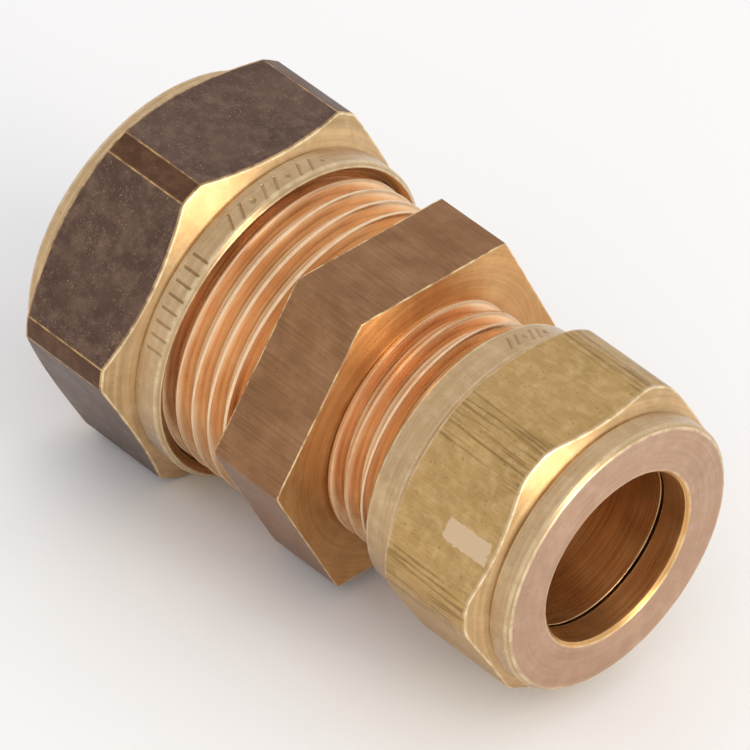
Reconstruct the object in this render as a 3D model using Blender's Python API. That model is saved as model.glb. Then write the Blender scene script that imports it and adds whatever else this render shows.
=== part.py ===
"""Reducing compression coupling that joins a 22 mm tube to a 15 mm tube.

Five separate pieces: a body with a hexagon and two male threads, and on each end an
olive (compression ring) and a nut. Everything is in metres. The row frame has +X along the
tubes' common axis towards the 15 mm end, +Z out of the body's top spanner flat, and its
origin on the axis halfway between the two nuts' end faces.

Threads are right-handed parallel pipe threads, 14 turns to the inch: a point on a flank
advances one pitch along +X for one turn about +X, so turning a nut moves it by the same rule.
"""

import math
from dataclasses import dataclass

import bmesh
import bpy
from mathutils import Vector

MM = 0.001

# Shared sizes, in millimetres and degrees.
PITCH = 25.4 / 14
HEX_ACROSS_FLATS = 27.0  # the body's hexagon
HEX_WIDTH = 7.1
STOP_WIDTH = 1.1  # radial, of the 15 mm tube's stop round the waterway
TUBE_CLEARANCE = 0.1  # radial, between a tube and the bore it slides in
SOCKET_CONE_ANGLE = 30.0  # of the stub's mouth, from the axis
SEAT_CONE_ANGLE = 45.0  # of the nut's seat for the olive, from the axis
THREAD_CLEARANCE = 0.2  # radial, between male and female thread
FLANK_CLEARANCE = 0.12  # axial, on each side of a male thread's ridge
OLIVE_CLEARANCE = 0.3  # radial, between an olive and the nut's thread that passes over it
TOUCH_GAP = 0.3  # between pieces that rest against each other
RELIEF_CLEARANCE = 0.17  # radial, of the nut's relief beyond its thread
STUB_CHAMFER = 1.3  # 45 degree lead-in at the male thread's start

# Whitworth form, cut square at its crest and its root.
CREST_SHARE = 1 / 6  # crest's width in pitches
BASE_SHARE = 5 / 6  # ridge's width in pitches at its root

# Facets round the axis, for turned shapes and threads alike.
FACETS = 36


@dataclass(frozen=True)
class End:
    """One end of the coupling, in millimetres; side is +1 towards +X and -1 towards -X."""

    label: str
    side: int
    tube_diameter: float
    socket_depth: float  # from the hexagon's near face inwards to the tube stop
    mouth_land: float  # radial, flat rim left between the socket's cone and the stub's chamfer
    thread_major_radius: float
    thread_minor_radius: float
    stub_length: float
    thread_phase: float  # degrees about +X of the crest that lies at thread_crest
    thread_crest: float  # distance of that crest from the hexagon's near face
    nut_length: float
    nut_across_flats: float
    nut_corner_diameter: float
    nut_turn: float  # degrees about +X that the nut's top flat is away from +Z
    tube_collar_length: float
    tube_collar_wall: float  # radial, collar outside the thread's major radius
    thread_collar_length: float
    thread_collar_wall: float
    lip_length: float
    seat_step: float  # radial, flat shoulder behind the lip that the olive rests on
    olive_length: float
    olive_nose: float  # radial, wall of the olive at its ends
    olive_taper: float  # axial, length of each tapered end
    nose_entry: float  # how far the olive's nose stands inside the stub's mouth

    @property
    def bore_radius(self):
        return self.tube_diameter / 2 + TUBE_CLEARANCE

    @property
    def tip_radius(self):
        """Outer radius of the stub's end face."""
        return self.thread_major_radius - STUB_CHAMFER

    @property
    def mouth_flare(self):
        """Radial, how much the socket opens at the stub's end."""
        return self.tip_radius - self.mouth_land - self.bore_radius

    @property
    def reach(self):
        """From the hexagon's near face to the nut's end face, by way of the olive."""
        return self.stub_length - self.nose_entry + self.olive_length + TOUCH_GAP + self.lip_length

    @property
    def bare_thread(self):
        """From the hexagon's near face to the nut's mouth."""
        return self.reach - self.nut_length

    @property
    def relief_radius(self):
        return self.thread_major_radius + THREAD_CLEARANCE + RELIEF_CLEARANCE

    @property
    def tube_collar_radius(self):
        return self.thread_major_radius + self.tube_collar_wall

    @property
    def thread_collar_radius(self):
        return self.thread_major_radius + self.thread_collar_wall

    @property
    def olive_outer_radius(self):
        return self.thread_minor_radius + THREAD_CLEARANCE - OLIVE_CLEARANCE


SMALL = End(
    label="15mm",
    side=1,
    tube_diameter=15.0,
    socket_depth=0.85,
    mouth_land=0.43,
    thread_major_radius=20.955 / 2,
    thread_minor_radius=18.631 / 2,
    stub_length=11.5,
    thread_phase=169.6,
    thread_crest=4.08,
    nut_length=15.85,
    nut_across_flats=25.0,
    nut_corner_diameter=27.1,
    nut_turn=3.1,
    tube_collar_length=2.2,
    tube_collar_wall=1.47,
    thread_collar_length=3.1,
    thread_collar_wall=1.42,
    lip_length=2.6,
    seat_step=0.75,
    olive_length=7.5,
    olive_nose=0.55,
    olive_taper=2.0,
    nose_entry=0.25,
)

LARGE = End(
    label="22mm",
    side=-1,
    tube_diameter=22.0,
    socket_depth=0.25,
    mouth_land=0.17,
    thread_major_radius=26.441 / 2,
    thread_minor_radius=24.117 / 2,
    stub_length=12.4,
    thread_phase=168.1,
    thread_crest=5.0,
    nut_length=15.2,
    nut_across_flats=30.0,
    nut_corner_diameter=33.5,
    nut_turn=-0.9,
    tube_collar_length=1.2,
    tube_collar_wall=1.38,
    thread_collar_length=2.7,
    thread_collar_wall=1.24,
    lip_length=2.6,
    seat_step=0.7,
    olive_length=7.4,
    olive_nose=0.45,
    olive_taper=1.2,
    nose_entry=-0.05,
)

OVERALL_LENGTH = SMALL.reach + HEX_WIDTH + LARGE.reach
WATERWAY_RADIUS = SMALL.bore_radius - STOP_WIDTH

# Turned details of the nuts, in millimetres and degrees.
COLLAR_CHAMFER = 0.35
GROOVE_DEPTH = 0.15
GROOVE_WIDTH = 0.25
CORNER_CHAMFER_ANGLE = 30.0  # from the nut's end plane
BORE_CHAMFER = 0.3
MOUTH_CHAMFER_LENGTH = 0.9
MOUTH_CLEARANCE = 0.03  # radial, of the nut's countersunk mouth beyond its thread
RELIEF_LENGTH = 1.8
RELIEF_RAMP = 0.7


def hex_face(end):
    """Distance from the origin to the body's hexagon on this end's side."""
    return OVERALL_LENGTH / 2 - end.reach


def material(name, color, roughness):
    """A metallic Principled material."""
    made = bpy.data.materials.new(name)
    made.use_nodes = True
    shader = made.node_tree.nodes["Principled BSDF"]
    shader.inputs["Base Color"].default_value = (*color, 1.0)
    shader.inputs["Metallic"].default_value = 1.0
    shader.inputs["Roughness"].default_value = roughness
    made.diffuse_color = (*color, 1.0)
    return made


def object_of(name, bm):
    """Puts a bmesh into a new object of the scene, faces outwards."""
    bmesh.ops.remove_doubles(bm, verts=bm.verts, dist=1e-7)
    bmesh.ops.recalc_face_normals(bm, faces=bm.faces)
    mesh = bpy.data.meshes.new(name)
    bm.to_mesh(mesh)
    bm.free()
    made = bpy.data.objects.new(name, mesh)
    bpy.context.scene.collection.objects.link(made)
    return made


def turned(name, outline):
    """A solid turned about X from an outline of (x, radius) points in millimetres.

    A closed outline is given without repeating its first point; one that starts and ends on
    the axis is left open there.
    """
    bm = bmesh.new()
    ring = [bm.verts.new((x * MM, 0.0, radius * MM)) for x, radius in outline]
    edges = [bm.edges.new(pair) for pair in zip(ring, ring[1:])]
    if outline[0][1] > 0:
        edges.append(bm.edges.new((ring[-1], ring[0])))
    bmesh.ops.spin(
        bm, geom=ring + edges, axis=(1, 0, 0), cent=(0, 0, 0),
        angle=math.tau, steps=FACETS, use_merge=True,
    )
    return object_of(name, bm)


def hexagonal(name, across_flats, x_low, x_high, turn=0.0):
    """A hexagonal bar along X whose top flat is turned about +X from +Z by turn degrees."""
    bm = bmesh.new()
    corner = across_flats / math.sqrt(3)
    angles = [math.radians(60 + turn + 60 * k) for k in range(6)]
    ring = [
        bm.verts.new((x_low * MM, corner * math.cos(a) * MM, corner * math.sin(a) * MM))
        for a in angles
    ]
    face = bm.faces.new(ring)
    moved = bmesh.ops.extrude_face_region(bm, geom=[face])["geom"]
    verts = [v for v in moved if isinstance(v, bmesh.types.BMVert)]
    bmesh.ops.translate(bm, verts=verts, vec=Vector(((x_high - x_low) * MM, 0, 0)))
    return object_of(name, bm)


def threaded_rod(name, end, x_low, x_high, grow_radius=0.0, grow_flank=0.0):
    """A solid rod along X that carries this end's thread and covers x_low to x_high.

    One turn of the spin advances the outline by one pitch, so each crest meets the next one's
    start. The phase follows the end's own crest, so male and female threads always mesh.
    """
    crest_x = end.side * (hex_face(end) + end.thread_crest)
    first = math.floor((x_low - crest_x) / PITCH) - 1
    last = math.ceil((x_high - crest_x) / PITCH) + 1
    half_crest = CREST_SHARE * PITCH / 2
    half_base = BASE_SHARE * PITCH / 2
    slope = (half_base - half_crest) / (end.thread_major_radius - end.thread_minor_radius)
    root = end.thread_minor_radius + grow_radius
    tip = end.thread_major_radius + grow_radius
    at_root = half_base + grow_flank - slope * grow_radius
    at_tip = half_crest + grow_flank - slope * grow_radius
    outline = []
    for turn in range(first, last + 1):
        crest = crest_x + turn * PITCH
        outline += [(crest - at_root, root), (crest - at_tip, tip)]
        outline += [(crest + at_tip, tip), (crest + at_root, root)]
    phase = math.radians(end.thread_phase)
    bm = bmesh.new()
    ring = [
        bm.verts.new((x * MM, r * math.cos(phase) * MM, r * math.sin(phase) * MM))
        for x, r in outline
    ]
    edges = [bm.edges.new(pair) for pair in zip(ring, ring[1:])]
    bmesh.ops.spin(
        bm, geom=ring + edges, axis=(1, 0, 0), cent=(0, 0, 0),
        dvec=(PITCH / FACETS * MM, 0, 0), angle=math.tau, steps=FACETS,
    )
    bmesh.ops.remove_doubles(bm, verts=bm.verts, dist=1e-7)
    middle = (x_low + x_high) / 2 * MM
    ends = {
        False: bm.verts.new(((outline[0][0] + PITCH / 2) * MM, 0, 0)),
        True: bm.verts.new(((outline[-1][0] + PITCH / 2) * MM, 0, 0)),
    }
    for edge in [e for e in bm.edges if e.is_boundary]:
        bm.faces.new((*edge.verts, ends[edge.verts[0].co.x > middle]))
    return object_of(name, bm)


def boolean(target, operation, *others):
    """Applies exact Booleans to target and removes the other objects.

    Self-intersection handling is on, because a thread cut leaves slivers that would otherwise
    stop the next cut at some sizes.
    """
    for other in others:
        modifier = target.modifiers.new(operation.title(), "BOOLEAN")
        modifier.operation = operation
        modifier.solver = "EXACT"
        modifier.use_self = True
        modifier.object = other
        graph = bpy.context.evaluated_depsgraph_get()
        result = bpy.data.meshes.new_from_object(target.evaluated_get(graph))
        target.modifiers.clear()
        spent = target.data
        target.data = result
        bpy.data.meshes.remove(spent)
        bpy.data.objects.remove(other)
    return target


def cone_length(rise, angle_from_axis):
    """Axial length of a cone that rises by this much radially."""
    return rise / math.tan(math.radians(angle_from_axis))


def on_side(end, outline):
    """Outline points given as (distance from the origin outwards, radius), placed on this end."""
    return [(end.side * distance, radius) for distance, radius in outline]


def stub(end):
    """This end's threaded stub, from inside the hexagon to its chamfered tip."""
    root = hex_face(end) - HEX_WIDTH / 4
    tip = hex_face(end) + end.stub_length
    low, high = sorted((end.side * root, end.side * tip))
    rod = threaded_rod(f"stub_{end.label}", end, low, high)
    crest = end.thread_major_radius
    return boolean(rod, "INTERSECT", turned("blank", on_side(end, [
        (root, 0),
        (root, crest + PITCH),
        (tip - STUB_CHAMFER - PITCH, crest + PITCH),
        (tip, end.tip_radius),
        (tip, 0),
    ])))


def coupling_body():
    """Hexagon, two threaded stubs, two tube sockets with stops, and the waterway."""
    body = hexagonal("coupling_body", HEX_ACROSS_FLATS, -hex_face(LARGE), hex_face(SMALL))
    boolean(body, "UNION", stub(SMALL), stub(LARGE))
    past = HEX_WIDTH
    widening = past * math.tan(math.radians(SOCKET_CONE_ANGLE))
    void = []
    for end in (SMALL, LARGE):
        tip = hex_face(end) + end.stub_length
        stop = hex_face(end) - end.socket_depth
        void.append(on_side(end, [
            (tip + past, 0),
            (tip + past, end.bore_radius + end.mouth_flare + widening),
            (tip - cone_length(end.mouth_flare, SOCKET_CONE_ANGLE), end.bore_radius),
            (stop, end.bore_radius),
            (stop, WATERWAY_RADIUS),
        ]))
    return boolean(body, "DIFFERENCE", turned("waterway", void[0] + void[1][::-1]))


def nut_blank(end, mouth, face):
    """Hexagonal bar turned down to a collar at each end and chamfered at its corners."""
    corner = end.nut_corner_diameter / 2
    rise = math.tan(math.radians(CORNER_CHAMFER_ANGLE))
    tube_shoulder = face - end.tube_collar_length
    thread_shoulder = mouth + end.thread_collar_length
    bar = hexagonal(f"nut_{end.label}", end.nut_across_flats, *sorted((
        end.side * (mouth - PITCH), end.side * (face + PITCH),
    )), end.nut_turn)
    return boolean(bar, "INTERSECT", turned("blank", on_side(end, [
        (mouth, 0),
        (mouth, end.thread_collar_radius - COLLAR_CHAMFER),
        (mouth + COLLAR_CHAMFER, end.thread_collar_radius),
        (thread_shoulder - GROOVE_WIDTH, end.thread_collar_radius),
        (thread_shoulder, end.thread_collar_radius - GROOVE_DEPTH),
        (thread_shoulder + (corner - end.thread_collar_radius) * rise, corner),
        (tube_shoulder - (corner - end.tube_collar_radius) * rise, corner),
        (tube_shoulder, end.tube_collar_radius - GROOVE_DEPTH),
        (tube_shoulder + GROOVE_WIDTH, end.tube_collar_radius),
        (face - COLLAR_CHAMFER, end.tube_collar_radius),
        (face, end.tube_collar_radius - COLLAR_CHAMFER),
        (face, 0),
    ])))


def nut(end):
    """Nut: bored for the tube, with a seat for the olive, a relief and a thread."""
    face = hex_face(end) + end.reach
    mouth = hex_face(end) + end.bare_thread
    bore = end.bore_radius
    minor = end.thread_minor_radius + THREAD_CLEARANCE
    inside = minor - THREAD_CLEARANCE
    lip = face - end.lip_length
    seat = bore + end.seat_step
    cone_end = lip - cone_length(minor - seat, SEAT_CONE_ANGLE)
    relief = cone_end - RELIEF_RAMP
    thread_start = relief - RELIEF_LENGTH
    socket = turned("socket", on_side(end, [
        (face + PITCH, 0),
        (face + PITCH, bore + BORE_CHAMFER + PITCH),
        (face - BORE_CHAMFER, bore),
        (lip, bore),
        (lip, seat),
        (cone_end, minor),
        (relief, end.relief_radius),
        (thread_start, end.relief_radius),
        (thread_start - (end.relief_radius - inside), inside),
        (thread_start - (end.relief_radius - inside), 0),
    ]))
    low, high = mouth - PITCH, thread_start + RELIEF_LENGTH / 2
    tap = boolean(
        threaded_rod(
            "tap", end, *sorted((end.side * low, end.side * high)),
            THREAD_CLEARANCE, FLANK_CLEARANCE,
        ),
        "INTERSECT",
        turned("sleeve", on_side(end, [
            (low, 0),
            (low, end.relief_radius + PITCH),
            (high, end.relief_radius + PITCH),
            (high, 0),
        ])),
    )
    widest = end.thread_major_radius + THREAD_CLEARANCE + MOUTH_CLEARANCE
    steep = (widest - inside) / MOUTH_CHAMFER_LENGTH
    countersink = turned("countersink", on_side(end, [
        (mouth - PITCH, 0),
        (mouth - PITCH, widest + PITCH * steep),
        (mouth + MOUTH_CHAMFER_LENGTH, inside),
        (mouth + MOUTH_CHAMFER_LENGTH, 0),
    ]))
    return boolean(nut_blank(end, mouth, face), "DIFFERENCE", socket, tap, countersink)


def olive(end):
    """Compression ring between the nut's seat and the stub's mouth."""
    outer = hex_face(end) + end.reach - end.lip_length - TOUCH_GAP
    inner = outer - end.olive_length
    bore = end.bore_radius
    nose = bore + end.olive_nose
    return turned(f"olive_{end.label}", on_side(end, [
        (inner, bore),
        (inner, nose),
        (inner + end.olive_taper, end.olive_outer_radius),
        (outer - end.olive_taper, end.olive_outer_radius),
        (outer, nose),
        (outer, bore),
    ]))


def finish(piece, surface, edge_angle=28.0):
    """Gives a piece its material and smooth shading broken at its real edges."""
    piece.data.materials.clear()
    piece.data.materials.append(surface)
    piece.data.shade_smooth()
    piece.data.set_sharp_from_angle(angle=math.radians(edge_angle))


def axis_empty(end):
    """An empty on the tubes' axis at the nut's mouth, on which this end's nut turns."""
    made = bpy.data.objects.new(f"axis_{end.label}", None)
    made.location = (end.side * (hex_face(end) + end.bare_thread) * MM, 0, 0)
    bpy.context.scene.collection.objects.link(made)
    return made


def hang(piece, parent):
    """Parents a piece without moving it."""
    bpy.context.view_layer.update()
    piece.parent = parent
    piece.matrix_parent_inverse = parent.matrix_world.inverted()


def main():
    for old in list(bpy.data.objects):
        bpy.data.objects.remove(old)
    machined = material("bright turned brass", (0.63, 0.30, 0.13), 0.22)
    dark = material("oxidised forged brass", (0.16, 0.09, 0.065), 0.45)
    satin = material("tarnished satin brass", (0.50, 0.35, 0.15), 0.38)
    soft = material("annealed olive brass", (0.60, 0.40, 0.16), 0.30)

    body = coupling_body()
    finish(body, machined)
    for end, surface in ((SMALL, satin), (LARGE, dark)):
        axis = axis_empty(end)
        axis.parent = body
        ring = olive(end)
        cap = nut(end)
        finish(ring, soft)
        finish(cap, surface)
        hang(ring, axis)
        hang(cap, axis)


main()
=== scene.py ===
"""Looks of a brass reducing compression coupling, 22 mm to 15 mm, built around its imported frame.

Every piece is turned or threaded about the X axis, so each is described by a section in
millimetres: x along the tubes, r out from their axis, azimuth from +Y towards +Z.
"""

import logging
import math
from collections.abc import Callable, Sequence
from dataclasses import dataclass, replace
from enum import Enum

import bmesh
import bpy
import numpy as np
from mathutils import Matrix, Vector

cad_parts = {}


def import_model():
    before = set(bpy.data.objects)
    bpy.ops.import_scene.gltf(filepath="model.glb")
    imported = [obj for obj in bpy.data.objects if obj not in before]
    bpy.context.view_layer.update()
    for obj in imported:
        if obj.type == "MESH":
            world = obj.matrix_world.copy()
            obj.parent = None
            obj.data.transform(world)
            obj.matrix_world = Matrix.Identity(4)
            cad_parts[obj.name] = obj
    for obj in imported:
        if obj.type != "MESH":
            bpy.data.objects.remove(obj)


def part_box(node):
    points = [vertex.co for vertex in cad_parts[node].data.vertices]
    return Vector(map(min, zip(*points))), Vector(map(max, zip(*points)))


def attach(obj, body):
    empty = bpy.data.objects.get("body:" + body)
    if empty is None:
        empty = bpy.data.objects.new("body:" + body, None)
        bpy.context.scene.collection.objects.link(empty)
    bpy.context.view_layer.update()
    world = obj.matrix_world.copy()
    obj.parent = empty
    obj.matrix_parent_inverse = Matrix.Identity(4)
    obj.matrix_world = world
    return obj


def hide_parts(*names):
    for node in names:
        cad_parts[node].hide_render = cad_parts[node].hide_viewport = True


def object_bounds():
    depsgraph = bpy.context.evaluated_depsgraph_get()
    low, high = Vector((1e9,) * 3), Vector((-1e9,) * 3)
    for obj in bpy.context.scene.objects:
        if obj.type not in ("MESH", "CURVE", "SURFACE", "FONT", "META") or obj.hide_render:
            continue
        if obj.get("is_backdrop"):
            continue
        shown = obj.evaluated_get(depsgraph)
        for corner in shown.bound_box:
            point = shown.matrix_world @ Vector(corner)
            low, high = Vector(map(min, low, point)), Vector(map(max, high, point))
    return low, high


LOG = logging.getLogger("compression_coupling")

MM = 0.001
THREAD_PITCH = 25.4 / 14  # fourteen turns to the inch
HEX_SIDES = 6
HEX_STEP = 360 / HEX_SIDES
CHAMFER_DEGREES = 30.0  # of the hexagons' corner chamfers and of the stubs' mouth cones
SHARP_DEGREES = 32.0  # an edge that turns further is shaded sharp
COLUMN_STEP = 3.0  # degrees between the columns of a hexagonal piece
MARK_STEP = 0.3  # degrees between columns under stamped marks
EDGE_FAN = (-7, -4.5, -3, -2, -1, 0, 1, 2, 3, 4.5, 7)  # columns beside an edge, in fine steps
ROUNDING_ROWS = (0.0, 0.25, 0.5, 0.75, 1.0)  # rows of a rounded edge, as shares of its arc
ROUNDING_REACH = 0.42  # largest share of a neighbouring run that a rounding takes
GUARD_REACH = 0.48  # the same, with the guard beside the rounding

Tree = bpy.types.NodeTree
Socket = bpy.types.NodeSocket
Inputs = dict[str | int, object]


# ---------------------------------------------------------------- nodes and colours


def linear(hex_colour: str) -> tuple[float, float, float, float]:
    """Turns an sRGB hex colour into linear RGBA.

    Args:
        hex_colour: Six hex digits with a leading hash.

    Returns:
        Linear red, green, blue and an alpha of one.
    """
    parts = [int(hex_colour[i:i + 2], 16) / 255 for i in (1, 3, 5)]
    red, green, blue = (c / 12.92 if c <= 0.04045 else ((c + 0.055) / 1.055) ** 2.4 for c in parts)
    return red, green, blue, 1.0


def add_node(
    tree: Tree, kind: str, inputs: Inputs | None = None, out: str | int = 0, **settings: object,
) -> Socket | None:
    """Adds a node with its settings, and links or sets its inputs.

    Args:
        tree: The node tree to add to.
        kind: The node's type name.
        inputs: Input name or number to a socket to link from, or to a plain value.
        out: Name or number of the output that is wanted.
        **settings: Properties of the node itself.

    Returns:
        The output, or nothing for a node that ends its tree.
    """
    node = tree.nodes.new(kind)
    for name, value in settings.items():
        setattr(node, name, value)
    for key, value in (inputs or {}).items():
        if isinstance(value, Socket):
            tree.links.new(value, node.inputs[key])
        else:
            node.inputs[key].default_value = value
    return node.outputs[out] if len(node.outputs) else None


def work_out(
    tree: Tree, known: dict[str, Socket], steps: Sequence[tuple[object, ...]],
    kind: str = "ShaderNodeMath",
) -> None:
    """Writes a calculation into a tree, one node a step.

    Args:
        tree: The node tree to add to.
        known: Sockets by name, to which each result is added.
        steps: Name of the result, the operation, then names of known sockets or plain values.
        kind: Type name of the nodes, any that have an operation.
    """
    for name, operation, *values in steps:
        inputs = {index: known.get(value, value) for index, value in enumerate(values)}
        known[name] = add_node(tree, kind, inputs, operation=operation)


# ---------------------------------------------------------------- finishes


class Grain(Enum):
    """Direction of the marks that the tool left."""

    TURNED = "rings about the axis"
    DRAWN = "lines along the axis"
    HELICAL = "lines along the thread"


class Skin(Enum):
    """Kinds of surface that one piece can show."""

    FLAT = "spanner flat"
    CORNER = "corner land"
    CHAMFER = "hexagon's corner chamfer"
    COLLAR = "turned collar"
    END_FACE = "faced end"
    BORE = "bored hole"
    HEX_FACE = "faced side of the hexagon"
    OLIVE = "olive"


RING_LEAN = 0.83  # how fast rings follow the radius, against x
RING_DRIFT = 0.9  # how fast a ring changes on its way round
SCRATCH_RADIUS = 16.0  # where scratches are unrolled, about the large nut's flats
# Painted shade: the floor of a stamped mark is darkened towards the speck colour, as if shaded in its recess.
STAMP_SHADE = 0.45  # how far the floor of a stamped mark is darkened


@dataclass(frozen=True)
class Cells:
    """Noise spread over a piece and made into a mask, with its cell size in millimetres."""

    size: float
    low: float = 0.0  # noise that gives bottom
    high: float = 1.0  # noise that gives top
    bottom: float = 0.0
    top: float = 1.0
    detail: float = 3.0
    fineness: float = 0.6  # weight of each finer octave
    length: float = 0.0  # of drawn-out cells along X, else size
    turn: float = 0.0  # radians by which drawn-out cells are laid askew

    def mask(self, tree: Tree, place: Socket) -> Socket:
        """Adds the noise.

        Args:
            tree: The material's tree.
            place: Object coordinates.

        Returns:
            Bottom where the noise is below low, top where it is above high.
        """
        # A texture mapping turns before it scales, so the long side of a cell turns as well.
        cell = ((self.length or self.size) * MM, self.size * MM, self.size * MM)
        lay = add_node(tree, "ShaderNodeMapping", {
            "Vector": place, "Scale": cell, "Rotation": (0.0, 0.0, self.turn),
        }, vector_type="TEXTURE")
        noise = add_node(tree, "ShaderNodeTexNoise", {
            "Vector": lay, "Scale": 1.0, "Detail": self.detail, "Roughness": self.fineness,
        })
        return add_node(tree, "ShaderNodeMapRange", {
            "Value": noise, "From Min": self.low, "From Max": self.high,
            "To Min": self.bottom, "To Max": self.top,
        })


@dataclass(frozen=True)
class RubbedPatch:
    """A small oblong where the tarnish was rubbed off one flat; degrees and millimetres."""

    azimuth: float
    x: float
    across: float
    half_x: float
    half_across: float

    def mask(self, tree: Tree, place: Socket) -> Socket:
        """Adds the patch.

        Args:
            tree: The material's tree.
            place: Object coordinates.

        Returns:
            Nearly one inside the ragged oblong, zero outside it.
        """
        # Turned about X, the flat faces +Y and the patch's middle lies on the Y axis.
        laid = add_node(tree, "ShaderNodeMapping", {
            "Vector": place, "Location": (-self.x * MM, 0.0, -self.across * MM),
            "Rotation": (-math.radians(self.azimuth), 0.0, 0.0),
        })
        far = add_node(tree, "ShaderNodeVectorMath", {0: laid}, operation="ABSOLUTE")
        known = {
            "off_x": add_node(tree, "ShaderNodeSeparateXYZ", {0: far}, out="X"),
            "off_z": add_node(tree, "ShaderNodeSeparateXYZ", {0: far}, out="Z"),
            "height": add_node(tree, "ShaderNodeSeparateXYZ", {0: laid}, out="Y"),
            "wobble": Cells(0.5, bottom=-0.3 * MM, top=0.3 * MM).mask(tree, place),
        }
        work_out(tree, known, (
            ("over_x", "SUBTRACT", "off_x", self.half_x * MM),
            ("over_z", "SUBTRACT", "off_z", self.half_across * MM),
            ("over", "MAXIMUM", "over_x", "over_z"),
            ("ragged", "ADD", "over", "wobble"),
            ("facing", "GREATER_THAN", "height", 0.0),
        ))
        inside = add_node(tree, "ShaderNodeMapRange", {
            "Value": known["ragged"], "From Min": 0.0, "From Max": 0.08 * MM,
            "To Min": 0.9, "To Max": 0.0,
        })
        return add_node(tree, "ShaderNodeMath", {0: inside, 1: known["facing"]}, operation="MULTIPLY")


@dataclass(frozen=True)
class BrassFinish:
    """A brass surface, with its sizes in millimetres and its colours in sRGB."""

    name: str
    grain: Grain
    dark: str
    mid: str
    light: str
    rubbed: str  # colour of an edge that handling keeps bright
    roughness: float
    metallic: float = 1.0
    anisotropy: float = 0.5
    cloud_size: float = 2.5  # tarnish clouds
    grain_spacing: float = 0.12  # between tool marks, coarser than real ones so that they show
    grain_contrast: float = 0.12
    grain_height: float = 0.004
    grain_run: float = 30.0  # length of a drawn line, in line spacings
    roughness_swing: float = 0.05
    grain_gloss: float = 0.06  # how much the tool marks swing the roughness
    pitting: float = 0.15  # share of the relief that is fine pits, not tool marks
    # The speck colour also paints the shade on the floors of stamped marks.
    speck: str = "#5a4028"
    speck_size: float = 0.25
    speck_share: float = 0.0
    scratch_share: float = 0.0
    streak: str = "#7a5a35"
    streak_share: float = 0.0
    streak_radius: float = 0.0  # streaks gather beyond this distance from the axis
    wear_break: float = 0.7  # how far a rubbed edge is broken up
    patch: RubbedPatch | None = None

    def build(self) -> bpy.types.Material:
        """Makes the material.

        Returns:
            A procedural brass that reads Object coordinates and the piece's own attributes.
        """
        material = bpy.data.materials.new(self.name)
        material.use_nodes = True
        tree = material.node_tree
        tree.nodes.clear()
        place = add_node(tree, "ShaderNodeTexCoord", out="Object")
        outward = add_node(
            tree, "ShaderNodeVectorMath", {0: place, 1: (0.0, 1.0, 1.0)}, operation="MULTIPLY",
        )
        radius = add_node(tree, "ShaderNodeVectorMath", {0: outward}, out="Value", operation="LENGTH")
        grain = self._grain(tree, place, outward, radius)
        clouds = Cells(self.cloud_size, detail=4.0).mask(tree, place)
        rough = add_node(tree, "ShaderNodeMapRange", {
            "Value": clouds, "From Min": 0.35, "From Max": 0.65,
            "To Min": max(self.roughness - self.roughness_swing, 0.05),
            "To Max": self.roughness + self.roughness_swing,
        })
        gloss = add_node(tree, "ShaderNodeMapRange", {
            "Value": grain, "To Min": -self.grain_gloss, "To Max": self.grain_gloss,
        })
        known = {
            "rough": rough, "gloss": gloss, "grain": grain,
            "pits": Cells(self.cloud_size / 12).mask(tree, place),
        }
        work_out(tree, known, (
            ("roughness", "ADD", "rough", "gloss"),
            ("height", "MULTIPLY_ADD", "pits", self.pitting, "grain"),
        ))
        bump = add_node(tree, "ShaderNodeBump", {
            "Height": known["height"], "Strength": 1.0, "Distance": self.grain_height * MM,
        })
        around = add_node(
            tree, "ShaderNodeVectorMath", {0: (1.0, 0.0, 0.0), 1: outward}, operation="CROSS_PRODUCT",
        )
        tangent = add_node(
            tree, "ShaderNodeVectorTransform", {0: around},
            vector_type="VECTOR", convert_from="OBJECT", convert_to="WORLD",
        )
        shader = add_node(tree, "ShaderNodeBsdfPrincipled", {
            "Base Color": self._colour(tree, place, radius, clouds, grain), "Metallic": self.metallic,
            "Roughness": known["roughness"], "Normal": bump, "Tangent": tangent,
            "Anisotropic": self.anisotropy,
            "Anisotropic Rotation": 0.0 if self.grain is Grain.DRAWN else 0.25,
        })
        add_node(tree, "ShaderNodeOutputMaterial", {"Surface": shader})
        return material

    def _grain(self, tree: Tree, place: Socket, outward: Socket, radius: Socket) -> Socket:
        """Tool marks as a height between 0 and 1.

        Args:
            tree: The material's tree.
            place: Object coordinates.
            outward: The part of the coordinates across the axis.
            radius: Distance from the axis.

        Returns:
            Noise drawn out along the tool's path.
        """
        per_metre = 1 / (self.grain_spacing * MM)
        if self.grain is Grain.DRAWN:
            scale = (per_metre / self.grain_run, per_metre, per_metre)
            path = add_node(tree, "ShaderNodeVectorMath", {0: place, 1: scale}, operation="MULTIPLY")
        else:
            known = {
                "outward": outward, "radius": radius,
                "x": add_node(tree, "ShaderNodeSeparateXYZ", {0: place}),
                "helix": add_node(tree, "ShaderNodeAttribute", out="Fac", attribute_name="helix"),
            }
            if self.grain is Grain.HELICAL:
                steps = (("across", "MULTIPLY", "helix", THREAD_PITCH / 2 / self.grain_spacing),)
            else:
                # Rings show on faces, cylinders and cones alike because x and r both move them.
                steps = (
                    ("both", "MULTIPLY_ADD", "radius", RING_LEAN, "x"),
                    ("across", "MULTIPLY", "both", per_metre),
                )
            work_out(tree, known, steps)
            known["lead"] = add_node(tree, "ShaderNodeCombineXYZ", {0: known["across"]})
            work_out(tree, known, (
                ("unit", "NORMALIZE", "outward"),
                ("slow", "MULTIPLY", "unit", (RING_DRIFT, RING_DRIFT, RING_DRIFT)),
                ("path", "ADD", "slow", "lead"),
            ), kind="ShaderNodeVectorMath")
            path = known["path"]
        return add_node(
            tree, "ShaderNodeTexNoise", {"Vector": path, "Scale": 1.0, "Detail": 3.0, "Roughness": 0.65},
        )

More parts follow.
